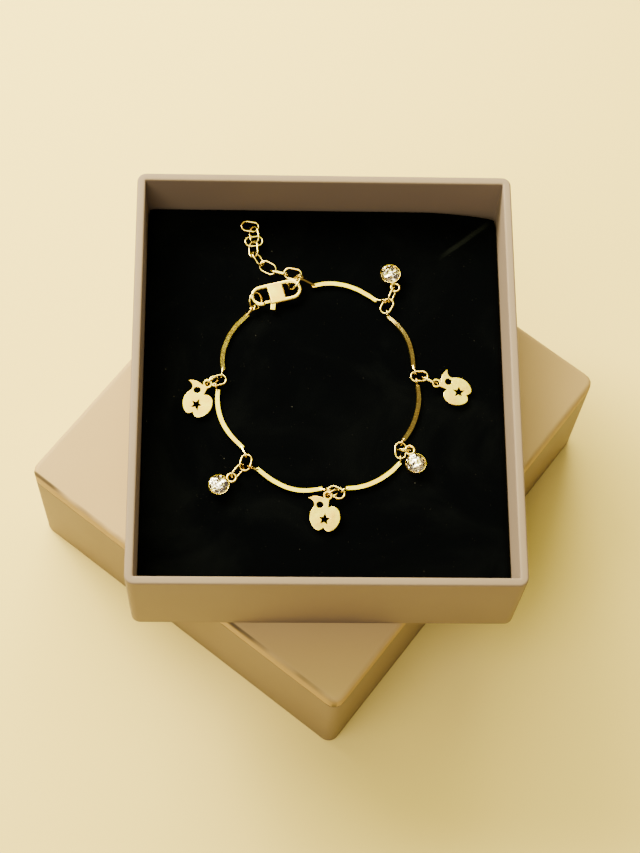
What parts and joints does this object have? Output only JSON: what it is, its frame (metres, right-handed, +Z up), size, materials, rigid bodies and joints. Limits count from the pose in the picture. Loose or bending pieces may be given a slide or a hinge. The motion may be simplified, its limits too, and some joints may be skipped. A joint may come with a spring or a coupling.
{
  "type": "charm bracelet in gift box",
  "caption": "Gold chain bracelet of curved bars with apple and round stone charms, clasped and lying on the velvet pad of an open card gift box that stands on its own padded lid.",
  "frame": {"origin": "on the surface that the lid lies on, under the middle of the lid", "axes": "+Z up, +X to the right and +Y to the back along the sides of the box's base"},
  "size_m": [0.1522, 0.1544, 0.0773],
  "materials": {
    "gold": "polished, gold plated",
    "crystal": "clear, faceted",
    "velvet": "matt pile",
    "board": "satin paper covering",
    "cover_paper": "satin, over foam"
  },
  "bodies": {
    "bracelet_in_box": {"bar_1": "gold", "bar_2": "gold", "bar_3": "gold", "bar_4": "gold", "bar_5": "gold", "bar_6": "gold", "bar_7": "gold", "bar_link_1": "gold", "bar_link_2": "gold", "bar_link_3": "gold", "bar_link_4": "gold", "bar_link_5": "gold", "bar_link_6": "gold", "bar_link_7": "gold", "bar_link_8": "gold", "charm_link_2": "gold", "charm_link_3": "gold", "charm_link_4": "gold", "charm_link_5": "gold", "charm_link_6": "gold", "charm_link_7": "gold", "apple_charm_2": "gold", "apple_charm_4": "gold", "apple_charm_6": "gold", "stone_setting_3": "gold", "stone_setting_5": "gold", "stone_setting_7": "gold", "extender_link_1": "gold", "extender_link_2": "gold", "extender_link_3": "gold", "extender_link_4": "gold", "extender_link_5": "gold", "extender_link_6": "gold", "extender_link_7": "gold", "extender_link_8": "gold", "clasp_body": "gold", "stone_3": "crystal", "stone_5": "crystal", "stone_7": "crystal", "box_base": "board", "lid_shell": "board", "lid_top_pad": "cover_paper", "velvet_pad": "velvet"},
    "lever": {"clasp_lever": "gold"}
  },
  "joints": [
    {"name": "clasp_lever_hinge", "type": "hinge", "parent": "bracelet_in_box", "child": "lever", "pos_m": [-0.01198, 0.02732, 0.0645], "axis": [0, 0, -1], "range_deg": [0, 28], "stiffness_Nm_per_rad": 0.002, "springref_deg": -5.73}
  ]
}
